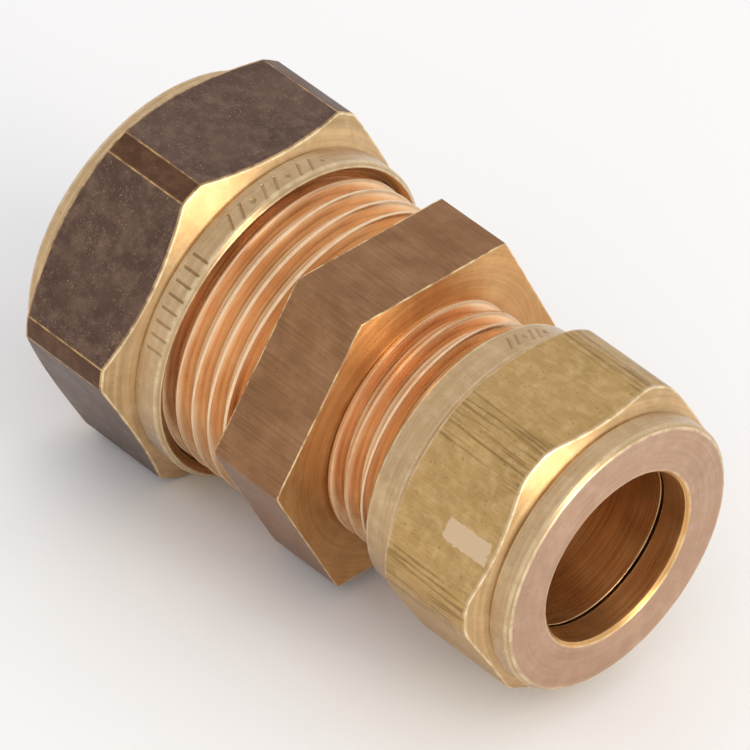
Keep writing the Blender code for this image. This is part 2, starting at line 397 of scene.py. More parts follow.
    def _colour(self, tree: Tree, place: Socket, radius: Socket, clouds: Socket, grain: Socket) -> Socket:
        """Tarnish clouds and tool marks, then everything that lies on them, including painted shade in
        stamped marks.

        Args:
            tree: The material's tree.
            place: Object coordinates.
            radius: Distance from the axis.
            clouds: Large soft noise.
            grain: Tool marks.

        Returns:
            The surface's colour.
        """
        deep = add_node(tree, "ShaderNodeMapRange", {"Value": clouds, "From Min": 0.3, "From Max": 0.7})
        thin = Cells(self.cloud_size / 3, low=0.45, high=0.8, detail=5.0).mask(tree, place)
        value = add_node(tree, "ShaderNodeMapRange", {
            "Value": grain, "From Min": 0.36, "From Max": 0.64,
            "To Min": 1 - 1.4 * self.grain_contrast, "To Max": 1 + 0.6 * self.grain_contrast,
        })
        colour = self._layered(tree, linear(self.dark), [(deep, self.mid), (thin, self.light)])
        colour = add_node(tree, "ShaderNodeHueSaturation", {"Value": value, "Color": colour})
        known = {
            "stamp": add_node(tree, "ShaderNodeAttribute", out="Fac", attribute_name="stamp"),
            "wear": add_node(tree, "ShaderNodeAttribute", out="Fac", attribute_name="wear"),
            "whole": Cells(
                1.1, low=0.4, high=0.6, bottom=1 - self.wear_break, detail=5.0,
            ).mask(tree, place),
        }
        work_out(tree, known, (
            ("worn", "MULTIPLY", "wear", "whole"),
            ("sunk", "MULTIPLY", "stamp", STAMP_SHADE),
        ))
        layers: list[tuple[Socket, str]] = []
        if self.speck_share:
            edge = 0.78 - 0.2 * self.speck_share
            specks = Cells(self.speck_size, low=edge, high=edge + 0.05, top=0.7, detail=2.0)
            layers.append((specks.mask(tree, place), self.speck))
        if self.scratch_share:
            layers += [(mask, self.speck) for mask in self._scratches(tree, place)]
        if self.streak_share:
            layers.append((self._streaks(tree, place, radius), self.streak))
        if self.patch:
            layers.append((self.patch.mask(tree, place), self.rubbed))
        # Painted shade: the floor of each stamped mark is darkened towards the speck colour.
        layers += [(known["worn"], self.rubbed), (known["sunk"], self.speck)]
        return self._layered(tree, colour, layers)

    @staticmethod
    def _layered(tree: Tree, base: object, layers: Sequence[tuple[Socket, str]]) -> Socket:
        """Lays colours over a base.

        Args:
            tree: The material's tree.
            base: Linear colour, or a socket that gives one.
            layers: Mask and sRGB colour of each layer, the lowest first.

        Returns:
            The colour on top.
        """
        for mask, tint in layers:
            base = add_node(
                tree, "ShaderNodeMix", {0: mask, 6: base, 7: linear(tint)}, out=2, data_type="RGBA",
            )
        return base

    def _scratches(self, tree: Tree, place: Socket) -> list[Socket]:
        """Fine pale scratches in loose clusters, which show the metal under the tarnish.

        Args:
            tree: The material's tree.
            place: Object coordinates.

        Returns:
            One mask for each way that the scratches lean.
        """
        cluster = Cells(2.2, low=0.46, high=0.66, bottom=0.12).mask(tree, place)
        split = add_node(tree, "ShaderNodeSeparateXYZ", {0: place}).node.outputs
        known = {"x": split[0], "y": split[1], "z": split[2]}
        # Unrolled round the axis, so that leaning scratches stay in the surface.
        work_out(tree, known, (
            ("angle", "ARCTAN2", "z", "y"),
            ("arc", "MULTIPLY", "angle", SCRATCH_RADIUS * MM),
        ))
        unrolled = add_node(tree, "ShaderNodeCombineXYZ", {0: known["x"], 1: known["arc"]})
        edge = 0.8 - 0.14 * self.scratch_share
        masks = []
        for turn, length in ((0.5, 0.9), (-0.9, 0.6), (1.9, 0.75)):
            line = Cells(
                0.05, low=edge, high=edge + 0.1, detail=1.0, fineness=0.5, length=length, turn=turn,
            ).mask(tree, unrolled)
            masks.append(add_node(tree, "ShaderNodeMath", {0: line, 1: cluster}, operation="MULTIPLY"))
        return masks

    def _streaks(self, tree: Tree, place: Socket, radius: Socket) -> Socket:
        """Brown streaks along the bar, gathered near the hexagon's corners.

        Args:
            tree: The material's tree.
            place: Object coordinates.
            radius: Distance from the axis.

        Returns:
            Their mask.
        """
        line = Cells(0.32, fineness=0.5, length=6.0).mask(tree, place)
        near = add_node(tree, "ShaderNodeMapRange", {
            "Value": radius, "From Min": self.streak_radius * MM,
            "From Max": (self.streak_radius + 0.6) * MM, "To Min": -0.4, "To Max": 0.06,
        })
        lifted = add_node(tree, "ShaderNodeMath", {0: line, 1: near}, operation="ADD")
        edge = 0.72 - 0.2 * self.streak_share
        return add_node(tree, "ShaderNodeMapRange", {
            "Value": lifted, "From Min": edge, "From Max": edge + 0.16, "To Max": 0.55,
        })


# Cold-drawn hexagonal brass bar, left as drawn: matt brown-gold with long fine lines.
DRAWN_BAR = BrassFinish(
    name="drawn_brass_bar", grain=Grain.DRAWN, dark="#8a6344", mid="#9b7150", light="#ab815e",
    rubbed="#ffe2ac", roughness=0.33, anisotropy=0.5, cloud_size=7.0, grain_spacing=0.17,
    grain_contrast=0.12, grain_height=0.003, grain_run=35.0, pitting=0.1,
    speck="#5f452f", speck_share=0.45, speck_size=0.3, wear_break=0.85,
)
# Faced brass, fresh from the lathe: bright and coppery, with arcs that spread light into a fan.
FACED_BRASS = BrassFinish(
    name="faced_bright_brass", grain=Grain.TURNED, dark="#d0985c", mid="#dda86c", light="#e7b87e",
    rubbed="#ffe6b8", roughness=0.38, anisotropy=0.9, cloud_size=8.0, grain_spacing=0.24,
    grain_contrast=0.1, grain_height=0.03, grain_gloss=0.1, pitting=0.05,
    speck="#8b5c38", speck_share=0.2, speck_size=0.4,
)
# Single-point cut thread: polished flanks with fine lines that follow the helix.
CUT_THREAD = BrassFinish(
    name="cut_thread_brass", grain=Grain.HELICAL, dark="#ebbe90", mid="#f3ca9d", light="#f8d5ac",
    rubbed="#f8dcb8", roughness=0.3, metallic=0.93, anisotropy=0.6, cloud_size=6.0, grain_spacing=0.16,
    grain_contrast=0.26, grain_height=0.012, grain_gloss=0.2, pitting=0.03,
    roughness_swing=0.03, wear_break=0.6,
)
# Turned collar, handled and lightly toned: pale beige gold with fine rings.
TURNED_COLLAR = BrassFinish(
    name="turned_toned_brass", grain=Grain.TURNED, dark="#bb9b72", mid="#cbac83", light="#d6ba92",
    rubbed="#fff0c8", roughness=0.3, anisotropy=0.5, cloud_size=4.0, grain_spacing=0.12,
    grain_contrast=0.09, grain_height=0.004, speck="#8a7150", speck_share=0.5, speck_size=0.22,
)
# Corner chamfer cut across the hexagon: brighter than the collar, because nothing rubs it dull.
TURNED_CHAMFER = BrassFinish(
    name="turned_chamfer_brass", grain=Grain.TURNED, dark="#c9a675", mid="#d6b385", light="#e0c094",
    rubbed="#fff0c8", roughness=0.46, anisotropy=0.5, cloud_size=4.0, grain_spacing=0.14,
    grain_contrast=0.14, grain_height=0.01, grain_gloss=0.12, speck="#9a7a4c", speck_share=0.5,
    speck_size=0.2,
)
# Hot-forged flats with their oxide left on: dark brown, dusted with pale flecks.
FORGED_OXIDE = BrassFinish(
    name="oxidised_forged_brass", grain=Grain.DRAWN, dark="#523c32", mid="#6a5246", light="#7f6654",
    rubbed="#d8b07c", roughness=0.42, metallic=0.8, anisotropy=0.1, cloud_size=4.0, grain_spacing=0.3,
    grain_contrast=0.05, grain_run=4.0, grain_height=0.006, pitting=0.8,
    speck="#b0937c", speck_size=0.16, speck_share=0.62, scratch_share=1.0,
)
# Corner land of the forged nut: browner than its flats, worn to gold along both edges.
FORGED_CORNER = BrassFinish(
    name="oxidised_corner_brass", grain=Grain.DRAWN, dark="#513727", mid="#644532", light="#75543e",
    rubbed="#e8bf7c", roughness=0.38, metallic=0.85, anisotropy=0.2, cloud_size=3.5, grain_spacing=0.25,
    grain_contrast=0.05, grain_height=0.003, pitting=0.3, speck="#a98d70", speck_size=0.2,
    speck_share=0.4, scratch_share=0.6,
)
# Drawn bar toned by storage: satin olive gold with brown handling streaks at the corners.
SATIN_BAR = BrassFinish(
    name="toned_satin_brass", grain=Grain.DRAWN, dark="#b2915c", mid="#c8a36b", light="#d6b47e",
    rubbed="#dcbf9c", roughness=0.36, anisotropy=0.4, cloud_size=3.2, grain_spacing=0.16,
    grain_contrast=0.07, grain_height=0.003, grain_run=12.0, pitting=0.5, speck="#8f7244", speck_share=0.62,
    speck_size=0.3, streak="#6b4f2a", streak_share=0.85, streak_radius=12.75,
    patch=RubbedPatch(azimuth=153.1, x=20.4, across=1.0, half_x=2.2, half_across=0.9),
)
# Faced nut end, handled: pinkish beige, dull, with faint rings and a few pits.
FACED_END = BrassFinish(
    name="faced_toned_brass", grain=Grain.TURNED, dark="#b89479", mid="#c4a187", light="#cdac93",
    rubbed="#ecd3b0", roughness=0.36, anisotropy=0.4, cloud_size=6.0, grain_spacing=0.2,
    grain_contrast=0.06, grain_height=0.003, pitting=0.3, speck="#8a6c5a", speck_share=0.42, speck_size=0.35,
)
# Bored hole: deep orange brown, because it mostly mirrors its own far wall.
BORED_BRASS = BrassFinish(
    name="bored_brass", grain=Grain.TURNED, dark="#d29a5c", mid="#dfab6c", light="#e9bb80",
    rubbed="#ffe6b0", roughness=0.3, metallic=0.88, anisotropy=0.7, cloud_size=8.0, grain_spacing=0.11,
    grain_contrast=0.2, grain_height=0.008, pitting=0.05, speck="#6b4020", speck_share=0.05,
)
# Annealed olive: softer and yellower than the bodies, with a satin barrel finish.
ANNEALED_OLIVE = BrassFinish(
    name="annealed_olive_brass", grain=Grain.TURNED, dark="#c28a48", mid="#cf9755", light="#d9a666",
    rubbed="#ffe6b0", roughness=0.28, anisotropy=0.6, cloud_size=4.0, grain_spacing=0.12,
    grain_contrast=0.08, grain_height=0.004, speck="#7b5428", speck_share=0.1,
)


class FinishShelf:
    """Builds each finish once and hands the same material to every piece that asks."""

    def __init__(self) -> None:
        """Starts with an empty shelf."""
        self._made: dict[str, bpy.types.Material] = {}

    def take(self, finish: BrassFinish) -> bpy.types.Material:
        """Finds a finish's material, or builds it at its first use.

        Args:
            finish: The finish.

        Returns:
            Its one material.
        """
        if finish.name not in self._made:
            self._made[finish.name] = finish.build()
        return self._made[finish.name]


# ---------------------------------------------------------------- turned sections


@dataclass(frozen=True)
class Knot:
    """A corner of a section, and the run of surface that starts at it."""

    x: float | np.ndarray
    r: float | np.ndarray
    skin: Skin
    rounding: float = 0.0
    wear: float = 0.0
    cuts: int = 0  # extra rows along the run


class MarkShape(Enum):
    """Plain shapes that a nut's collar is stamped with."""

    BAR = "bar"
    DOT = "dot"


STAMP_DEPTH = 0.1
STAMP_WALL = 0.1  # width of a mark's sloping wall
LIP_HEIGHT = 0.015
LIP_OFFSET = 0.12  # from a mark's outline to the top of its lip
LIP_WIDTH = 0.06
STAMP_REACH = 2.5  # farthest that a mark changes the collar, along the axis
ON_COLLAR = 0.02  # how far below the collar's radius a row still takes marks


@dataclass(frozen=True)
class Mark:
    """A stamped mark on a collar; sizes in millimetres, azimuth in degrees."""

    shape: MarkShape
    azimuth: float
    x: float
    length: float = 1.5
    width: float = 0.24
    lean: float = 0.0  # degrees that a bar leans from the axis

    def distance(self, arc: np.ndarray, along: np.ndarray) -> np.ndarray:
        """Distance outside the mark's outline, negative inside it.

        Args:
            arc: Distance round the collar from the mark's middle.
            along: Distance along the axis from the mark's middle.

        Returns:
            The signed distance, in the shape of the two given arrays.
        """
        lean = math.radians(self.lean)
        across = arc * math.cos(lean) - along * math.sin(lean)
        down = arc * math.sin(lean) + along * math.cos(lean)
        if self.shape is MarkShape.BAR:
            return np.maximum(np.abs(across) - self.width / 2, np.abs(down) - self.length / 2)
        return np.hypot(across, down) - self.length / 2


def stamped(
    marks: Sequence[Mark], azimuths: np.ndarray, x: np.ndarray, radius: float,
) -> tuple[np.ndarray, np.ndarray]:
    """Depth that the marks press into a collar, with the lip of metal that each pushes up.

    Args:
        marks: The marks.
        azimuths: Azimuth of each column, in radians.
        x: Place along the axis of each point, rows by columns.
        radius: The collar's radius.

    Returns:
        Depth in millimetres, and how far each point is inside a mark from 0 to 1.
    """
    depth, inside = np.zeros_like(x), np.zeros_like(x)
    for mark in marks:
        turn = (azimuths - math.radians(mark.azimuth) + math.pi) % math.tau - math.pi
        gap = mark.distance(np.broadcast_to(turn * radius, x.shape), x - mark.x)
        sunk = np.clip(0.5 - gap / STAMP_WALL, 0, 1)
        sunk = sunk * sunk * (3 - 2 * sunk)
        depth += STAMP_DEPTH * sunk - LIP_HEIGHT * np.exp(-((gap - LIP_OFFSET) / LIP_WIDTH) ** 2)
        inside = np.maximum(inside, sunk)
    return depth, inside


def soft_lower(first: np.ndarray, second: float, blend: float) -> np.ndarray:
    """Takes the lower of two values, with a rounded change from one to the other.

    Args:
        first: Values to choose from.
        second: The other value.
        blend: How close the two are when the change begins.

    Returns:
        The lower one, or a little less where they are close.
    """
    share = np.clip(0.5 + 0.5 * (second - first) / blend, 0, 1)
    return second * (1 - share) + first * share - blend * share * (1 - share)


def hexagon_radius(
    azimuths: np.ndarray, across_flats: float, corner: float, turn: float, blend: float,
) -> np.ndarray:
    """Distance from the axis to a hexagon whose corners are turned down.

    Args:
        azimuths: Azimuths in radians.
        across_flats: Size across flats.
        corner: Largest distance from the axis.
        turn: Azimuth of one flat, in degrees.
        blend: How much the change from flat to corner is rounded.

    Returns:
        One distance for each azimuth.
    """
    step = math.radians(HEX_STEP)
    off = (azimuths - math.radians(turn) + step / 2) % step - step / 2
    return soft_lower(across_flats / 2 / np.cos(off), corner, blend)


def column_azimuths(
    step: float, fine: Sequence[float] = (), fine_step: float = 1.0,
    bands: Sequence[tuple[float, float]] = (),
) -> np.ndarray:
    """Azimuths of a mesh's columns, closer together where the shape turns quickly.

    Args:
        step: Usual spacing in degrees.
        fine: Azimuths in degrees that need close columns on both sides.
        fine_step: Spacing next to those.
        bands: Ranges in degrees that are covered closely, for stamped marks.

    Returns:
        Sorted azimuths in radians, with no two closer than a third of the fine spacing.
    """
    degrees = list(np.arange(0, 360, step))
    for middle in fine:
        degrees += [middle + fine_step * k for k in EDGE_FAN]
    for low, high in bands:
        degrees += list(np.arange(low, high, MARK_STEP))
    ordered = np.unique(np.round(np.mod(degrees, 360), 4))
    keep = [ordered[0]]
    for angle in ordered[1:]:
        if angle - keep[-1] > fine_step / 3:
            keep.append(angle)
    return np.radians(np.array(keep))


@dataclass
class TurnedMesh:
    """A closed mesh of rows that follow a section and columns that go round the axis."""

    name: str
    azimuths: np.ndarray
    knots: list[Knot]
    guard: float = 0.09  # flat metal kept beside a rounded edge, over which its wear fades

    def _rows(self) -> tuple[np.ndarray, list[Skin], list[float]]:
        """Rows of points round the whole section.

        Returns:
            Points as rows by (x, r) by columns, the skin after each row, and each row's wear.
        """
        columns = len(self.azimuths)
        corners = np.array([
            [np.broadcast_to(k.x, columns), np.broadcast_to(k.r, columns)] for k in self.knots
        ], float)
        groups: list[list[tuple[np.ndarray, Skin, float]]] = []
        for index, knot in enumerate(self.knots):
            here = corners[index]
            last_skin = self.knots[index - 1].skin
            if not knot.rounding:
                groups.append([(here, knot.skin, 0.0)])
                continue
            back, ahead = corners[index - 1] - here, corners[(index + 1) % len(corners)] - here
            back_length, ahead_length = np.hypot(*back), np.hypot(*ahead)
            reach = np.minimum(knot.rounding, ROUNDING_REACH * np.minimum(back_length, ahead_length))
            first, last = here + back / back_length * reach, here + ahead / ahead_length * reach
            before = here + back / back_length * np.minimum(reach + self.guard, GUARD_REACH * back_length)
            group = [(before, last_skin, 0.0)]
            for share in ROUNDING_ROWS:
                point = first * (1 - share) ** 2 + 2 * here * share * (1 - share) + last * share ** 2
                group.append((point, last_skin if share < 0.5 else knot.skin, knot.wear))
            after = here + ahead / ahead_length * np.minimum(reach + self.guard, GUARD_REACH * ahead_length)
            groups.append([*group, (after, knot.skin, 0.0)])
        rows = []
        for index, group in enumerate(groups):
            rows += group
            start, end = group[-1][0], groups[(index + 1) % len(groups)][0][0]
            cuts = self.knots[index].cuts
            for k in range(1, cuts + 1):
                rows.append((start + (end - start) * k / (cuts + 1), self.knots[index].skin, 0.0))
        return np.array([row[0] for row in rows]), [row[1] for row in rows], [row[2] for row in rows]

    def build(
        self, materials: dict[Skin, bpy.types.Material], marks: Sequence[Mark] = (),
        mark_radius: float = 0.0, edge_wear: Callable[[np.ndarray], np.ndarray] | None = None,
    ) -> bpy.types.Object:
        """Makes the object.

        Args:
            materials: Material of each skin that the section uses.
            marks: Stamped marks.
            mark_radius: Radius of the collar that they are stamped on.
            edge_wear: Wear of edges that run along the axis, from the azimuths.

        Returns:
            An object at the origin, in metres, with its wear and stamp attributes.
        """
        points, skins, wears = self._rows()
        count, _, columns = points.shape
        x, r = points[:, 0], points[:, 1].copy()
        inside = np.zeros_like(r)
        if marks:
            depth, inside = stamped(marks, self.azimuths, x, mark_radius)
            taken = (r > mark_radius - ON_COLLAR) & (np.abs(x - marks[0].x) < STAMP_REACH)
            inside = np.where(taken, inside, 0)
            r -= np.where(taken, depth, 0)
        wear = np.repeat(np.array(wears)[:, None], columns, axis=1)
        if edge_wear is not None:
            on_flat = np.array([s in (Skin.FLAT, Skin.CORNER) for s in skins])
            wear = np.maximum(wear, on_flat[:, None] * edge_wear(self.azimuths)[None, :])
        y, z = r * np.cos(self.azimuths), r * np.sin(self.azimuths)
        vertices = np.stack([x, y, z], axis=-1).reshape(-1, 3) * MM
        row, column = np.meshgrid(np.arange(count), np.arange(columns), indexing="ij")
        next_row, next_column = (row + 1) % count, (column + 1) % columns
        faces = np.stack([
            row * columns + column, row * columns + next_column,
            next_row * columns + next_column, next_row * columns + column,
        ], axis=-1).reshape(-1, 4)
        mesh = bpy.data.meshes.new(self.name)
        mesh.from_pydata(vertices.tolist(), [], faces.tolist())
        order = list(materials)
        for skin in order:
            mesh.materials.append(materials[skin])
        slots = np.repeat([order.index(s) for s in skins], columns).astype(np.int32)
        mesh.polygons.foreach_set("material_index", slots)
        for name, values in (("wear", wear), ("stamp", inside)):
            attribute = mesh.attributes.new(name, "FLOAT", "POINT")
            attribute.data.foreach_set("value", values.astype(np.float32).ravel())
        return placed(self.name, mesh)


def placed(name: str, mesh: bpy.types.Mesh) -> bpy.types.Object:
    """Puts a closed mesh into the scene, faces outwards and shaded smooth between real edges.

    Args:
        name: The object's name.
        mesh: The mesh, with its place in its vertices.

    Returns:
        The object, at the origin.
    """
    bm = bmesh.new()
    bm.from_mesh(mesh)
    bmesh.ops.recalc_face_normals(bm, faces=bm.faces)
    bm.to_mesh(mesh)
    bm.free()
    mesh.shade_smooth()
    mesh.set_sharp_from_angle(angle=math.radians(SHARP_DEGREES))
    made = bpy.data.objects.new(name, mesh)
    bpy.context.scene.collection.objects.link(made)
    LOG.info("%s: %d faces", name, len(mesh.polygons))
    return made


# ---------------------------------------------------------------- threads


@dataclass(frozen=True)
class ThreadSleeve:
    """A parallel pipe thread as a thin closed sleeve, sizes in millimetres.

    Side is +1 for a male thread, whose form stands out, and -1 for a female one.
    """

    name: str
    side: int
    start: float
    end: float
    crest_x: float  # place of a crest at azimuth zero
    crest_radius: float
    root_radius: float
    back_radius: float
    lead_x: float
    lead_radius: float
    lead_slope: float
    crest_share: float = 0.08  # of half a pitch, from the middle of the crest
    flank_share: float = 0.92  # of half a pitch, where the flank meets the root
    columns: int = 240
    rows_per_turn: int = 16

    def settings(self) -> dict[str, float | int]:
        """Works out the values of the tree's inputs.

        Returns:
            Each input's value by its name, with lengths in metres.
        """
        turns = (self.end - self.start) / THREAD_PITCH + 1
        return {
            "Start": self.start * MM, "End": self.end * MM, "Pitch": THREAD_PITCH * MM,
            "Crest X": self.crest_x * MM, "Crest Radius": self.crest_radius * MM,
            "Root Radius": self.root_radius * MM, "Back Radius": self.back_radius * MM,
            "Lead X": self.lead_x * MM, "Lead Radius": self.lead_radius * MM,
            "Lead Slope": self.lead_slope,
            "Crest Share": self.crest_share, "Flank Share": self.flank_share,
            "Side": float(self.side), "Columns": self.columns, "Rows per Turn": self.rows_per_turn,
            "Rows": math.ceil(turns * self.rows_per_turn) + 1,
        }


class ThreadTree:
    """The Geometry Nodes tree that cuts every thread from one rule."""

    LENGTHS = (
        "Start", "End", "Pitch", "Crest X", "Crest Radius", "Root Radius", "Back Radius",
        "Lead X", "Lead Radius",
    )
    RATIOS = ("Lead Slope", "Side", "Crest Share", "Flank Share")
    COUNTS = ("Columns", "Rows per Turn", "Rows")
    WELD = 0.0005  # millimetres
    POLISHED = (0.06, 0.2)  # shares of half a pitch over which a crest's polish fades

    def __init__(self) -> None:
        """Builds the tree with its named inputs."""
        self.tree = bpy.data.node_groups.new("thread_sleeve", "GeometryNodeTree")
        self.tree.is_modifier = True
        interface = self.tree.interface
        interface.new_socket("Geometry", in_out="OUTPUT", socket_type="NodeSocketGeometry")
        for names, kind in (
            (("Geometry",), "NodeSocketGeometry"),
            (self.LENGTHS + self.RATIOS, "NodeSocketFloat"),
            (self.COUNTS, "NodeSocketInt"),
            (("Material",), "NodeSocketMaterial"),
        ):
            for name in names:
                interface.new_socket(name, in_out="INPUT", socket_type=kind)
        self._wire()

    def _wire(self) -> None:
        """Lays a grid round the axis so that its rows follow the helix, then welds it closed."""
        tree = self.tree
        known = {s.name: s for s in add_node(tree, "NodeGroupInput").node.outputs if s.name}
        work_out(tree, known, (("rows_all", "ADD", "Rows", 3.0), ("across", "ADD", "Columns", 1.0)))
        grid = add_node(tree, "GeometryNodeMeshGrid", {
            "Size X": 1.0, "Size Y": 1.0,
            "Vertices X": known["across"], "Vertices Y": known["rows_all"],
        })
        position = add_node(tree, "GeometryNodeInputPosition")
        flat = add_node(tree, "ShaderNodeSeparateXYZ", {0: position}).node.outputs
        known.update({"flat_x": flat[0], "flat_y": flat[1]})
        # The first row is the sleeve's back at its start. The last two are its back at the end and,
        # welded to the first, at the start.
        work_out(tree, known, (
            ("turn", "ADD", "flat_x", 0.5),
            ("azimuth", "MULTIPLY", "turn", math.tau),
            ("down", "ADD", "flat_y", 0.5),
            ("final", "SUBTRACT", "rows_all", 1.0),
            ("exact", "MULTIPLY", "down", "final"),
            ("row", "ROUND", "exact"),
            ("counted", "SUBTRACT", "row", 1.0),
            ("stepped", "DIVIDE", "counted", "Rows per Turn"),
            ("early", "SUBTRACT", "stepped", 1.0),
            ("turned", "ADD", "early", "turn"),
            ("free_x", "MULTIPLY_ADD", "turned", "Pitch", "Start"),
            ("below_end", "MINIMUM", "free_x", "End"),
            ("held_x", "MAXIMUM", "below_end", "Start"),
            ("return_row", "ADD", "Rows", 1.5),
            ("returned", "GREATER_THAN", "row", "return_row"),
        ))
        known["x"] = add_node(
            tree, "GeometryNodeSwitch", {0: known["returned"], 1: known["held_x"], 2: known["Start"]},
            input_type="FLOAT",
        )
        work_out(tree, known, (
            ("from_crest", "SUBTRACT", "x", "Crest X"),
            ("pitches", "DIVIDE", "from_crest", "Pitch"),
            ("phase", "SUBTRACT", "pitches", "turn"),
            ("wrapped", "WRAP", "phase", 0.5, -0.5),
            ("half_off", "ABSOLUTE", "wrapped"),
            ("off_crest", "MULTIPLY", "half_off", 2.0),
            ("from_lead", "SUBTRACT", "x", "Lead X"),
            ("lead_gap", "ABSOLUTE", "from_lead"),
            ("lead_rise", "MULTIPLY", "lead_gap", "Lead Slope"),
            ("lead_step", "MULTIPLY", "lead_rise", "Side"),
            ("lead", "ADD", "Lead Radius", "lead_step"),
            ("lead_side", "MULTIPLY", "lead", "Side"),
        ))
        known["form"] = add_node(tree, "ShaderNodeMapRange", {
            "Value": known["off_crest"], "From Min": known["Crest Share"], "From Max": known["Flank Share"],
            "To Min": known["Crest Radius"], "To Max": known["Root Radius"],
        }, interpolation_type="SMOOTHSTEP")
        work_out(tree, known, (
            ("form_side", "MULTIPLY", "form", "Side"),
            ("lower", "MINIMUM", "form_side", "lead_side"),
            ("front", "MULTIPLY", "lower", "Side"),
            ("opening", "LESS_THAN", "row", 0.5),
            ("back_row", "ADD", "Rows", 0.5),
            ("closing", "GREATER_THAN", "row", "back_row"),
            ("behind", "MAXIMUM", "opening", "closing"),
        ))
        known["radius"] = add_node(
            tree, "GeometryNodeSwitch", {0: known["behind"], 1: known["front"], 2: known["Back Radius"]},
            input_type="FLOAT",
        )
        work_out(tree, known, (
            ("cosine", "COSINE", "azimuth"),
            ("sine", "SINE", "azimuth"),
            ("y", "MULTIPLY", "radius", "cosine"),
            ("z", "MULTIPLY", "radius", "sine"),
        ))
        place = add_node(tree, "ShaderNodeCombineXYZ", {0: known["x"], 1: known["y"], 2: known["z"]})
        polished = add_node(tree, "ShaderNodeMapRange", {
            "Value": known["off_crest"], "From Min": self.POLISHED[0], "From Max": self.POLISHED[1],
            "To Min": 1.0, "To Max": 0.0,
        })
        made = grid
        for name, value in (("helix", known["off_crest"]), ("wear", polished)):
            made = add_node(
                tree, "GeometryNodeStoreNamedAttribute", {"Geometry": made, "Name": name, "Value": value},
                data_type="FLOAT", domain="POINT",
            )
        for kind, inputs in (
            ("GeometryNodeSetPosition", {"Position": place}),
            ("GeometryNodeMergeByDistance", {"Distance": self.WELD * MM}),
            ("GeometryNodeRealizeInstances", {}),
            ("GeometryNodeSetMaterial", {"Material": known["Material"]}),
            ("NodeGroupOutput", {}),
        ):
            made = add_node(tree, kind, {"Geometry": made, **inputs})

    def cut(self, sleeve: ThreadSleeve, material: bpy.types.Material) -> bpy.types.Object:
        """Cuts one thread.

        Args:
            sleeve: Its sizes.
            material: Its finish.

        Returns:
            A plain mesh object at the origin.
        """
        rule = f"{sleeve.name}_rule"
        holder = bpy.data.objects.new(rule, bpy.data.meshes.new(rule))
        bpy.context.scene.collection.objects.link(holder)
        modifier = holder.modifiers.new("Thread", "NODES")
        modifier.node_group = self.tree
        inputs = (item for item in self.tree.interface.items_tree if item.in_out == "INPUT")
        identifiers = {item.name: item.identifier for item in inputs}
        for name, value in {**sleeve.settings(), "Material": material}.items():
            modifier[identifiers[name]] = value
        bpy.context.view_layer.update()
        graph = bpy.context.evaluated_depsgraph_get()
        mesh = bpy.data.meshes.new_from_object(holder.evaluated_get(graph))
        holder.modifiers.clear()
        bpy.data.objects.remove(holder)
        return placed(sleeve.name, mesh)


# ---------------------------------------------------------------- the coupling's ends


@dataclass(frozen=True)
class End:
    """Sizes of one end of the coupling, in millimetres and degrees.

    Side is +1 towards +X, where the 15 mm tube goes, and -1 towards -X.
    """

    label: str
    side: int
    bore: float  # radius that the tube slides in
    thread_major: float
    thread_minor: float
    stub_length: float
    socket_depth: float
    tip_radius: float
    mouth_radius: float
    thread_azimuth: float  # of the crest that lies at thread_crest
    thread_crest: float  # distance of that crest from the hexagon
    across_flats: float
    corner: float
    flat_azimuth: float
    thread_collar: float
    thread_collar_length: float
    tube_collar: float
    tube_collar_length: float
    seat: float
    olive_outer: float
    olive_nose: float
    olive_taper: float
    lip: float = 2.6
    thread_clearance: float = 0.2
    relief_clearance: float = 0.17

    @property
    def female_minor(self) -> float:
        """Radius of the nut's thread at its crests."""
        return self.thread_minor + self.thread_clearance

    @property
    def relief(self) -> float:
        """Radius of the nut's relief behind its thread."""
        return self.thread_major + self.thread_clearance + self.relief_clearance

    def span(self, node: str) -> tuple[float, float]:
        """Finds where a node begins and ends along the axis.

        Args:
            node: A solid of the frame.

        Returns:
            Its two ends in millimetres, in the order met on the way out from the hexagon.
        """
        low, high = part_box(node)
        ends = (low.x / MM, high.x / MM)
        return ends if self.side > 0 else ends[::-1]

    def hexagon_face(self) -> float:
        """Place of the body's hexagon on this side, from the stub's tip in the frame."""
        return self.span("coupling_body")[1] - self.side * self.stub_length

    def crest_at_zero(self) -> float:
        """Place of a thread crest at azimuth zero."""
        crest = self.hexagon_face() + self.side * self.thread_crest
        return crest - THREAD_PITCH * self.thread_azimuth / 360


SMALL_END = End(
    label="15mm", side=1, bore=7.6, thread_major=10.4775, thread_minor=9.3155, stub_length=11.5,
    socket_depth=0.85, tip_radius=9.1775, mouth_radius=8.7475, thread_azimuth=169.6, thread_crest=4.08,
    across_flats=25.0, corner=13.55, flat_azimuth=93.1, thread_collar=11.8975, thread_collar_length=3.1,
    tube_collar=11.9475, tube_collar_length=2.2, seat=8.35,
    olive_outer=9.2155, olive_nose=8.15, olive_taper=2.0,
)
LARGE_END = End(
    label="22mm", side=-1, bore=11.1, thread_major=13.2205, thread_minor=12.0585, stub_length=12.4,
    socket_depth=0.25, tip_radius=11.9205, mouth_radius=11.7505, thread_azimuth=168.1, thread_crest=5.0,
    across_flats=30.0, corner=16.75, flat_azimuth=89.1, thread_collar=14.4605, thread_collar_length=2.7,
    tube_collar=14.6005, tube_collar_length=1.2, seat=11.8,
    olive_outer=11.9585, olive_nose=11.55, olive_taper=1.2,
)


def fasten(piece: bpy.types.Object, body: str, node: str | None = None) -> bpy.types.Object:
    """Rides a piece on its body and hides the plain solid that it replaces.

    Args:
        piece: The finished piece.
        body: Body it moves with.
        node: The plain solid it replaces, if any.

    Returns:
        The piece.
    """
    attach(piece, body)
    if node:
        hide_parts(node)
    return piece


